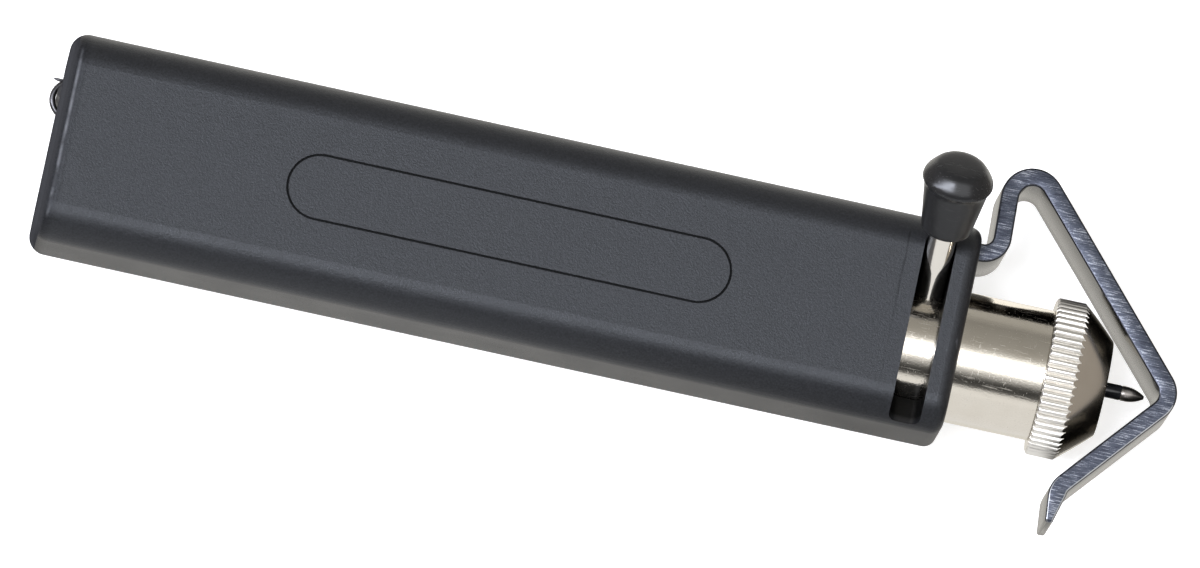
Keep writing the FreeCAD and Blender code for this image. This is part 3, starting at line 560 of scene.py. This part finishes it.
# Hook: a strip bent at these corners, from its tail in the handle to its tip
STRIP_HALF = 1.1
STRIP_WIDTH = 12.5
STRIP_ROUND = 0.24
STRIP_ROUND_MOST = 0.45
CORNER_POINTS = 5
SPRING_Y = AXIS_Y + 7.65
TAIL_X = FRONT - 64.3
HOOK_CORNERS = [
    Vector((TAIL_X, SPRING_Y - 0.8, 0)),
    Vector((TAIL_X, AXIS_Y + 12.2, 0)),
    Vector((FRONT + 2.55, AXIS_Y + 12.2, 0)),
    Vector((FRONT + 2.0, AXIS_Y + 27.5, 0)),
    Vector((FRONT + 26.85, AXIS_Y - 0.2, 0)),
    Vector((FRONT + 15.2, AXIS_Y - 13.95, 0)),
    Vector((FRONT + 15.6, AXIS_Y - 18.5, 0)),
]
HOOK_BENDS = (2.2, 2.2, 2.8, 2.6, 2.4)
BEND_STEPS = 16
TAIL_HOLE_Y = SPRING_Y + 1.945
TAIL_HOLE_RADIUS = 1.15
TAIL_HOLE_DEPTH = 6
TAIL_HOLE_SEGMENTS = 32
# The tip: shorter than the strip's corner, bevelled to a land, and rounded off by rings further in and ahead
TIP_TRIM = 0.6
TIP_STEPS = 14
TIP_LAND = 1.05
TIP_BEVEL_LENGTH = 3.1
TIP_END_RINGS = ((0.04, 0.1), (0.12, 0.2), (0.25, 0.29), (0.46, 0.35))
TIP_END_SLOPE = 1.0
# The upper corners' sides of the section that carry a painted highlight, for these lengths from the tip
GLINT_OUTSIDE, GLINT_INSIDE = (2, 3), (5,)
GLINT_LENGTH, GLINT_TIP = 21.0, 5.5
HOOK_LOOKS = {
    "face": "hook_steel",
    "edge": "hook_ground_edge",
    "corner": "hook_corner",
    "painted_glint": "hook_painted_glint",
}


def strip_section(inner, outer):
    """Round-cornered section: places across the strip's thickness and width."""
    high = STRIP_WIDTH / 2
    radius = min(STRIP_ROUND, (outer - inner) * STRIP_ROUND_MOST)
    section = []
    for across, up, start in ((outer, high, 0), (inner, high, 90), (inner, -high, 180), (outer, -high, 270)):
        centre_across = across - math.copysign(radius, across - (inner + outer) / 2)
        centre_up = up - math.copysign(radius, up)
        for i in range(CORNER_POINTS):
            angle = math.radians(start + 90 * i / (CORNER_POINTS - 1))
            section.append((centre_across + radius * math.cos(angle), centre_up + radius * math.sin(angle)))
    return section


def section_sides():
    """What kind of surface each side of the section is."""
    corner = ["corner"] * (CORNER_POINTS - 1)
    return [side for kind in ("edge", "face", "edge", "face") for side in (*corner, kind)]


def hook_path():
    """The strip's middle line, from its tail to its trimmed tip."""
    path = rounded_path(HOOK_CORNERS, HOOK_BENDS, BEND_STEPS)
    tip_start, corner = path[-2:]
    tip = corner - (corner - tip_start).normalized() * TIP_TRIM
    path[-1:] = [tip_start.lerp(tip, i / TIP_STEPS) for i in range(1, TIP_STEPS + 1)]
    return path


def tip_end_rings(end_ring, forward):
    """Rings that round off the tip's end."""
    centre = sum(end_ring, Vector()) / len(end_ring)
    rings = []
    for inset, ahead in TIP_END_RINGS:
        ring = []
        for point in end_ring:
            inward = centre - point
            inward.z = math.copysign(min(abs(inward.z), TIP_END_SLOPE), inward.z)
            ring.append(point + inward.normalized() * min(inset, inward.length) + forward * ahead)
        rings.append(ring)
    return rings


def make_hook():
    path = hook_path()
    lengths = path_lengths(path)
    whole = lengths[-1]
    rings = []
    for i, place in enumerate(path):
        ahead = (path[min(i + 1, len(path) - 1)] - path[max(i - 1, 0)]).normalized()
        left = Vector((-ahead.y, ahead.x, 0))
        to_tip = whole - lengths[i]
        bevel = TIP_LAND - STRIP_HALF + (2 * STRIP_HALF - TIP_LAND) * to_tip / TIP_BEVEL_LENGTH
        section = strip_section(-STRIP_HALF, min(STRIP_HALF, bevel))
        rings.append([place + left * across + Vector((0, 0, AXIS_Z + up)) for across, up in section])
    end_rings = tip_end_rings(rings[-1], (path[-1] - path[-2]).normalized())
    points, faces = closed_rings(rings + end_rings)
    piece = new_piece("hook_strip", points, faces, "hook", HOOK_LOOKS.values())
    dress_hook(piece, path + [path[-1]] * len(end_rings), lengths + [whole] * len(end_rings))
    cut_tail_hole(piece)
    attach(piece, "hook")


def dress_hook(piece, middles, lengths):
    """Gives each face of the strip its look and its surface coordinates, by its row along the strip."""
    mesh = piece.data
    sides = section_sides()
    count = len(sides)
    kinds = list(HOOK_LOOKS)
    layer = mesh.uv_layers.new(name="surface_mm")
    for polygon in mesh.polygons:
        row, side = divmod(polygon.index, count)
        is_end = row == len(lengths) - 1
        to_tip = lengths[-1] - lengths[min(row, len(lengths) - 1)]
        shines_outside = side in GLINT_OUTSIDE and to_tip < GLINT_LENGTH
        shines_inside = side in GLINT_INSIDE and to_tip < GLINT_TIP
        kind = "face" if is_end else "painted_glint" if shines_outside or shines_inside else sides[side]
        polygon.material_index = kinds.index(kind)
        for loop in polygon.loop_indices:
            vertex = mesh.loops[loop].vertex_index
            row = vertex // count
            point = mesh.vertices[vertex].co / MM
            from_middle = (Vector((point.x, point.y, 0)) - middles[row]).length
            layer.data[loop].uv = (lengths[row], point.z + from_middle)


def cut_tail_hole(piece):
    """The hole that the spring's front eye hooks into."""
    cutter_mesh = bpy.data.meshes.new("tail_hole")
    shape = bmesh.new()
    turn = Matrix.Rotation(math.pi / 2, 4, "Y")
    place = Matrix.Translation(Vector((TAIL_X, TAIL_HOLE_Y, AXIS_Z)) * MM)
    radius = TAIL_HOLE_RADIUS * MM
    bmesh.ops.create_cone(shape, cap_ends=True, segments=TAIL_HOLE_SEGMENTS, radius1=radius, radius2=radius,
                          depth=TAIL_HOLE_DEPTH * MM, matrix=place @ turn)
    shape.to_mesh(cutter_mesh)
    shape.free()
    cutter = bpy.data.objects.new("tail_hole", cutter_mesh)
    bpy.context.scene.collection.objects.link(cutter)
    hole = piece.modifiers.new("tail_hole", "BOOLEAN")
    hole.object = cutter
    hole.operation = "DIFFERENCE"
    hole.solver = "EXACT"
    apply_modifiers(piece)
    bpy.data.objects.remove(cutter)


# Depth nut
TEETH = 57
TOOTH_DEPTH = 0.45
TOOTH_ROUNDNESS = 2.2
COLUMNS_PER_TOOTH = 12
KNURL_RADIUS = 9.7
KNURL_LENGTH = 3.5
REAR_ROUND = 0.35
REAR_ROUND_STEPS = 3
NUT_FACE_RADIUS = 5.85
NUT_FACE_ROUND = 0.12
NUT_BORE_RADIUS = 6.55
NUT_HOLE_ROUND = 0.15
NUT_WALL = 1.4
NUT_SMOOTH_DEGREES = 30
BLADE_HOLE_RADIUS = 1.035
CONE_CROWN = 0.09
# Rings on the cone, as shares of its length: close together where the teeth run out
CONE_SHARES = (
    0, 0.015, 0.03, 0.045, 0.06, 0.075, 0.09, 0.105, 0.12, 0.15, 0.3, 0.45, 0.6, 0.75, 0.88, 0.95,
)
PROFILE_ROUND_STEPS = 4


def rounded_profile(corners):
    """A profile of points, each with the size of the curve that rounds it off."""
    profile = []
    count = len(corners)
    for i, (x, radius, size) in enumerate(corners):
        corner = Vector((x, radius, 0))
        if not size:
            profile.append((x, radius))
            continue
        before, after = Vector((*corners[i - 1][:2], 0)), Vector((*corners[(i + 1) % count][:2], 0))
        back, ahead = (before - corner).normalized(), (after - corner).normalized()
        start, end = corner + back * size, corner + ahead * size
        for step in range(PROFILE_ROUND_STEPS + 1):
            share = step / PROFILE_ROUND_STEPS
            place = start.lerp(corner, share).lerp(corner.lerp(end, share), share)
            profile.append((place.x, place.y))
    return profile


def tooth_radius(radius, share):
    """Cuts a radius back to the knurl's teeth, which have round crests and narrow gaps."""
    phase = share * TEETH % 1.0
    from_gap = 1 - abs(2 * phase - 1)
    crest = KNURL_RADIUS - TOOTH_DEPTH * (1 - from_gap) ** TOOTH_ROUNDNESS
    return min(radius, crest)


def make_depth_nut():
    rear, face = NUT_LOW.x, NUT_HIGH.x
    knurl_end = rear + KNURL_LENGTH
    inner_face = face - NUT_WALL
    rear_round = []
    for i in range(REAR_ROUND_STEPS + 1):
        share = i / REAR_ROUND_STEPS
        rear_round.append((rear + REAR_ROUND * share, KNURL_RADIUS - REAR_ROUND * (1 - share) ** 2, 0))
    cone_start = Vector((knurl_end, KNURL_RADIUS, 0))
    cone_end = Vector((face, NUT_FACE_RADIUS, 0))
    cone = []
    for share in CONE_SHARES:
        x, radius, _ = cone_start.lerp(cone_end, share)
        cone.append((x, radius + CONE_CROWN * 4 * share * (1 - share), 0))
    profile = rounded_profile([
        (rear, NUT_BORE_RADIUS, NUT_HOLE_ROUND),
        *rear_round,
        *cone,
        (face, NUT_FACE_RADIUS, NUT_FACE_ROUND),
        (face, BLADE_HOLE_RADIUS, NUT_HOLE_ROUND),
        (inner_face, BLADE_HOLE_RADIUS, 0),
        (inner_face, NUT_BORE_RADIUS, 0),
    ])
    columns = TEETH * COLUMNS_PER_TOOTH
    points, faces = joined_rings(turned_rings(profile, columns, tooth_radius))
    piece = new_piece("knurled_nut", points, faces, "depth_nut", ("nickel_turned", "nickel_knurl"))
    for polygon in piece.data.polygons:
        row, column = divmod(polygon.index, columns)
        x, radius = profile[row]
        in_gap = tooth_radius(radius, (column + 0.5) / columns) < radius
        is_outside = radius > (NUT_BORE_RADIUS + KNURL_RADIUS) / 2
        polygon.material_index = int(is_outside and (x < knurl_end or in_gap))
    smooth_below(piece, NUT_SMOOTH_DEGREES)
    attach(piece, "depth_nut")


# Lever knob, by distance along the lever from the barrel's axis and radius: its hole, its side and its dome,
# which is a lip, a broad sloping shoulder and a nearly flat top
KNOB_HOLE = [(22.02, 0.0), (22.02, 1.67)]
KNOB_SIDE = [
    (18.5, 1.67), (18.5, 2.75), (18.56, 2.95), (18.72, 3.08), (19.1, 3.14), (21.5, 3.48), (24.0, 3.83),
    (24.7, 3.94), (25.05, 4.02), (25.3, 4.11), (25.52, 4.22), (25.66, 4.30),
]
KNOB_DOME = [(KNOB_LIP + rise, radius) for rise, radius in (
    (0.0, 4.34), (0.25, 4.32), (0.5, 4.25), (0.75, 4.13), (1.0, 3.97), (1.25, 3.80), (1.5, 3.62),
    (1.75, 3.43), (1.97, 3.24), (2.15, 3.04), (2.29, 2.80), (2.38, 2.50), (2.44, 2.10), (2.48, 1.50),
    (2.5, 0.80), (2.505, 0.0),
)]
KNOB_SEGMENTS = 72
KNOB_SMOOTH_DEGREES = 50


def make_knob():
    aside = Vector((1, 0, 0))
    behind = LEVER_DIRECTION.cross(aside)
    base = Vector((LEVER_X, AXIS_Y, AXIS_Z))
    points, rows, faces = [], [], []
    for distance, radius in KNOB_HOLE + KNOB_SIDE + KNOB_DOME:
        row = []
        for i in range(KNOB_SEGMENTS if radius else 1):
            angle = WHOLE_TURN * i / KNOB_SEGMENTS
            row.append(len(points))
            out = (aside * math.cos(angle) + behind * math.sin(angle)) * radius
            points.append(base + LEVER_DIRECTION * distance + out)
        rows.append(row)
    for first, second in zip(rows, rows[1:]):
        for i in range(KNOB_SEGMENTS):
            after = (i + 1) % KNOB_SEGMENTS
            if len(first) == 1:
                faces.append((first[0], second[after], second[i]))
            elif len(second) == 1:
                faces.append((first[i], first[after], second[0]))
            else:
                faces.append((first[i], first[after], second[after], second[i]))
    piece = new_piece("lever_grip", points, faces, "lever_knob", ("knob_plastic",))
    face_outward(piece)
    smooth_below(piece, KNOB_SMOOTH_DEGREES)
    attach(piece, "cutter")


# Blade: a black rod with a fine ring cut into it, and ground to a point ahead of the ring
BLADE_RADIUS = 0.935
GROUND_RADIUS = 0.925
BLADE_POINT = 2.5
BLADE_GROUND = 3.05
BLADE_REAR_CHAMFER = 0.2
RING_DEPTH = 0.05
RING_FLOOR, RING_REACH = 0.05, 0.12
POINT_STEPS = 14
POINT_POWERS = (1.9, 0.82)
BLADE_SEGMENTS = 40
BLADE_SMOOTH_DEGREES = 60


def make_blade():
    tip, rear = BLADE_HIGH.x, BLADE_LOW.x
    ring_x = tip - BLADE_GROUND
    profile = [
        (rear, BLADE_RADIUS - BLADE_REAR_CHAMFER),
        (rear + BLADE_REAR_CHAMFER, BLADE_RADIUS),
        (ring_x - RING_REACH, BLADE_RADIUS),
        (ring_x - RING_FLOOR, BLADE_RADIUS - RING_DEPTH),
        (ring_x + RING_FLOOR, BLADE_RADIUS - RING_DEPTH),
    ]
    ground_from = len(profile) - 1
    profile += [(ring_x + RING_REACH, GROUND_RADIUS), (tip - BLADE_POINT, GROUND_RADIUS)]
    for i in range(1, POINT_STEPS):
        share = i / POINT_STEPS
        narrowed = (1 - share ** POINT_POWERS[0]) ** POINT_POWERS[1]
        profile.append((tip - BLADE_POINT * (1 - share), GROUND_RADIUS * narrowed))
    points, faces = closed_rings(turned_rings(profile, BLADE_SEGMENTS))
    piece = new_piece("blade_rod", points, faces, "blade", ("blade_steel", "blade_ground_tip"))
    polygons = piece.data.polygons
    for polygon in polygons:
        row = polygon.index // BLADE_SEGMENTS
        is_tip_cap = polygon.index == len(polygons) - 1
        polygon.material_index = int(ground_from <= row < len(profile) - 1 or is_tip_cap)
    face_outward(piece)
    smooth_below(piece, BLADE_SMOOTH_DEGREES)
    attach(piece, "cutter")


# Return spring
WIRE_RADIUS = 0.375
WIRE_SIDES = 8
COIL_RADIUS = 2.225
COIL_TURNS = 44
EYE_NECK = 3.0
EYE_STEPS, TURN_STEPS = 20, 18
HANDLE_REAR_WALL = 3.0
COIL_GAP = 0.15


def tube_rings(path, radii):
    """Rings of a tube along a line, carried along without twist."""
    rings = []
    side = (path[1] - path[0]).normalized().orthogonal().normalized()
    for i, place in enumerate(path):
        ahead = (path[min(i + 1, len(path) - 1)] - path[max(i - 1, 0)]).normalized()
        side = (side - ahead * side.dot(ahead)).normalized()
        up = ahead.cross(side)
        ring = []
        for k in range(WIRE_SIDES):
            angle = WHOLE_TURN * k / WIRE_SIDES
            ring.append(place + (side * math.cos(angle) + up * math.sin(angle)) * radii[i])
        rings.append(ring)
    return rings


def make_return_spring():
    rear_eye = SPRING_LOW.x + WIRE_RADIUS + COIL_RADIUS
    front_eye = SPRING_HIGH.x - WIRE_RADIUS - COIL_RADIUS
    coil_rear = REAR + HANDLE_REAR_WALL + WIRE_RADIUS + COIL_GAP
    coil_front = front_eye - EYE_NECK
    path = []
    for i in range(EYE_STEPS):
        angle = math.pi * i / EYE_STEPS
        y = SPRING_Y + COIL_RADIUS * math.cos(angle)
        path.append(Vector((rear_eye - COIL_RADIUS * math.sin(angle), y, AXIS_Z)))
    steps = COIL_TURNS * TURN_STEPS
    for i in range(steps + 1):
        x = coil_rear + (coil_front - coil_rear) * i / steps
        turn = WHOLE_TURN * i / TURN_STEPS
        y = SPRING_Y - COIL_RADIUS * math.cos(turn)
        path.append(Vector((x, y, AXIS_Z + COIL_RADIUS * math.sin(turn))))
    for i in range(EYE_STEPS + 1):
        angle = math.pi * i / EYE_STEPS
        y = SPRING_Y - COIL_RADIUS * math.cos(angle)
        path.append(Vector((front_eye + COIL_RADIUS * math.sin(angle), y, AXIS_Z)))
    points, faces = closed_rings(tube_rings(path, [WIRE_RADIUS] * len(path)))
    # The wire's thin loose end beside the rear eye: place along X, Y and Z from the coil's axis, and radius
    loose_end = [
        (rear_eye + 0.2, 2.05, 0.0, 0.24),
        (REAR - 0.3, 2.12, 0.1, 0.2),
        (REAR - 0.8, 2.16, 0.12, 0.17),
        (REAR - 1.12, 2.18, 0.12, 0.08),
    ]
    end_path = [Vector((x, SPRING_Y + y, AXIS_Z + z)) for x, y, z, _ in loose_end]
    end_points, end_faces = closed_rings(tube_rings(end_path, [radius for *_, radius in loose_end]))
    first = len(points)
    points += end_points
    faces += [tuple(first + index for index in face) for face in end_faces]
    piece = new_piece("return_spring_wire", points, faces, "return_spring", ("spring_steel",))
    face_outward(piece)
    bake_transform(piece)


# Stage and light
FLOOR_HALF_M = 3
FLOOR_GAP = 0.1
FLOOR_COLOUR = (0.82, 0.82, 0.82, 1)
FLOOR_ROUGHNESS = 0.9
FLOOR_SHOWN = 0.62
WHITE = (1, 1, 1, 1)
# The studio round the tool: brightness by angle from straight up, plus to the lever's side
STUDIO = [
    (-180, 0.78), (-165, 0.78), (-150, 0.9), (-75, 0.92), (-69, 0.98), (-60, 0.92), (-54, 0.11),
    (-45, 0.05), (-38, 0.12), (-31, 0.5), (-24, 0.9), (-20, 2.0), (-16, 2.4), (1, 2.4), (6, 1.5), (11, 0.7),
    (18, 0.44), (27, 0.36), (50, 0.31), (62, 0.28), (72, 0.42), (88, 0.45), (102, 0.55), (114, 1.0),
    (126, 1.3), (145, 1.2), (160, 0.9), (165, 0.78),
]
# A brighter, bluish lamp in the soft box, by angle and by the direction's part along the tool
LAMP_ANGLES = (math.radians(-13), 0.0)
LAMP_PART = (-0.95, -0.15)
LAMP_BORDER_INSET = 0.03
LAMP_ANGLE_SOFT, LAMP_PART_SOFT = 0.05, 0.06
LAMP_LEVEL = (18.0, 18.5, 20.5)
# Tint of the room past the lever's side and of the floor below, and the angles over which it sets in
WARM_TINT = (1.03, 1.0, 0.93)
WARM_ROOM = (math.radians(6), math.radians(20))
WARM_FLOOR = (math.radians(-150), math.radians(-165))
# Past these parts along the tool, the room's end walls
END_PART = (0.62, 0.74)
END_WALL = (0.37, 0.34, 0.31)
# The white card at the lower side: how far along the tool it reaches, as a share of its distance, and how low
CARD_REAR, CARD_FRONT = 0.6, 1.6
CARD_SOFT = 0.1
CARD_LOWEST = (-0.55, -0.42)


def add_stage():
    """A white floor with the tool's shadow; glossy rays pass it, to the studio below."""
    mesh = bpy.data.meshes.new("floor")
    half, z = FLOOR_HALF_M, (BACK_LOW.z - FLOOR_GAP) * MM
    corners = [(-half, -half, z), (half, -half, z), (half, half, z), (-half, half, z)]
    mesh.from_pydata(corners, [], [(0, 1, 2, 3)])
    floor = bpy.data.objects.new("floor", mesh)
    bpy.context.scene.collection.objects.link(floor)
    floor.visible_glossy = False
    material, tree, shader = new_material("floor_white")
    connect(tree, shader, Base_Color=FLOOR_COLOUR, Roughness=FLOOR_ROUGHNESS, Specular_IOR_Level=0.0)
    shown = add_node(tree, "ShaderNodeEmission", {"Color": WHITE, "Strength": FLOOR_SHOWN})
    both = add_node(tree, "ShaderNodeAddShader", {0: shader.outputs[0], 1: shown.outputs[0]})
    show_to_camera(tree, shader, both, "Material Output")
    mesh.materials.append(material)


def show_to_camera(tree, lighting, shown, output):
    """One shader for what the camera sees, and another for all other rays."""
    path = add_node(tree, "ShaderNodeLightPath")
    mix = add_node(tree, "ShaderNodeMixShader", {
        "Fac": path.outputs["Is Camera Ray"], 1: lighting.outputs[0], 2: shown.outputs[0],
    })
    tree.links.new(mix.outputs[0], tree.nodes[output].inputs["Surface"])


def studio_level(tree, angle):
    """Brightness of the studio by angle."""
    ramp = add_node(tree, "ShaderNodeValToRGB", {"Fac": spread(tree, angle, -math.pi, math.pi)})
    brightest = max(level for _, level in STUDIO)
    stops = ramp.color_ramp.elements
    while len(stops) > 1:
        stops.remove(stops[0])
    stops[0].position = 0
    for i, (degrees, level) in enumerate(STUDIO):
        stop = stops.new((degrees + 180) / 360) if i else stops[0]
        stop.color = (level / brightest, level / brightest, level / brightest, 1)
    return product(tree, ramp.outputs["Color"], brightest)


def within(tree, value, borders, soft):
    """1 between two borders, softly falling to 0 across them."""
    low, high = borders
    return near(tree, value, (low + high) / 2, (high - low) / 2 - LAMP_BORDER_INSET, soft)


def add_world():
    world = bpy.data.worlds.new("studio")
    bpy.context.scene.world = world
    world.use_nodes = True
    tree = world.node_tree
    x, y, z = split(tree, add_node(tree, "ShaderNodeTexCoord").outputs["Generated"])
    angle = calculate(tree, "ARCTAN2", y, z)
    level = studio_level(tree, angle)
    warm = largest(tree, spread(tree, angle, *WARM_ROOM), spread(tree, angle, *WARM_FLOOR))
    parts = {
        part: product(tree, level, spread(tree, warm, 0, 1, 1.0, tint))
        for part, tint in zip(("Red", "Green", "Blue"), WARM_TINT)
    }
    past_front = add_up(tree, x, product(tree, y, CARD_FRONT))
    past_rear = minus(tree, product(tree, y, CARD_REAR), x)
    past_card = largest(tree, spread(tree, largest(tree, past_front, past_rear), -CARD_SOFT, CARD_SOFT),
                        spread(tree, z, *CARD_LOWEST, 1.0, 0.0))
    past_end = product(tree, spread(tree, single(tree, "ABSOLUTE", x), *END_PART), past_card)
    lamp = product(tree, within(tree, angle, LAMP_ANGLES, LAMP_ANGLE_SOFT),
                   within(tree, x, LAMP_PART, LAMP_PART_SOFT))
    colour = add_node(tree, "ShaderNodeCombineColor", parts).outputs["Color"]
    colour = mix_colour(tree, past_end, colour, END_WALL)
    colour = mix_colour(tree, lamp, colour, LAMP_LEVEL, "ADD")
    light = tree.nodes["Background"]
    tree.links.new(colour, light.inputs["Color"])
    shown = add_node(tree, "ShaderNodeBackground", {"Color": WHITE, "Strength": 1.0})
    show_to_camera(tree, light, shown, "World Output")


MATERIALS = {
    "handle_plastic": make_handle_plastic(),
    "knob_plastic": make_knob_plastic(),
    "nickel": make_nickel("nickel", roughness=0.095, turning=0.06, worn=1.2),
    "nickel_pin": make_nickel("nickel_pin", roughness=0.095, turning=0.06, worn=0.4, pale=0.4),
    "nickel_turned": make_nickel("nickel_turned", roughness=0.17, turning=0.12, worn=0.3),
    "nickel_knurl": make_nickel("nickel_knurl", roughness=0.36, turning=0.0, worn=0.2, pale=0.7),
    "hook_steel": make_hook_steel(),
    "hook_ground_edge": make_ground_steel(),
    "hook_corner": make_plain_steel("hook_corner", (0.030, 0.032, 0.040), (0.070, 0.074, 0.088), 0.3),
    # A lighter copy of the hook steel: painted highlight on the upper corners near the tip
    "hook_painted_glint": make_plain_steel("hook_painted_glint", (0.14, 0.145, 0.155), (0.50, 0.51, 0.53), 0.35),
    "blade_steel": make_plain_steel("blade_steel", (0.012, 0.012, 0.014), (0.022, 0.022, 0.026), 0.16, 0.2),
    "blade_ground_tip": make_blade_tip(),
    "spring_steel": make_plain_steel("spring_steel", (0.06, 0.06, 0.064), (0.11, 0.11, 0.115), 0.35),
    "screw_steel": make_plain_steel("screw_steel", (0.38, 0.38, 0.39), (0.46, 0.46, 0.47), 0.35),
    "dark_steel": make_plain_steel("dark_steel", (0.010, 0.010, 0.011), (0.020, 0.020, 0.021), 0.5, 0.0),
    "ring_rubber": make_rubber(),
}
SLOT_OF = {part["node"]: part["material_slot"] for part in frame["record"]["subparts"]}
LOOK_OF = {"spring_anchor_pin": "dark_steel", "lever_pin": "nickel_pin"}
for node_name, cad_object in frame["nodes"].items():
    cad_object.data.materials.clear()
    cad_object.data.materials.append(MATERIALS[LOOK_OF.get(node_name, SLOT_OF[node_name])])

make_hook()
make_depth_nut()
make_knob()
make_blade()
make_return_spring()
add_camera()
add_stage()
add_world()

bpy.context.scene.view_settings.view_transform = "Standard"
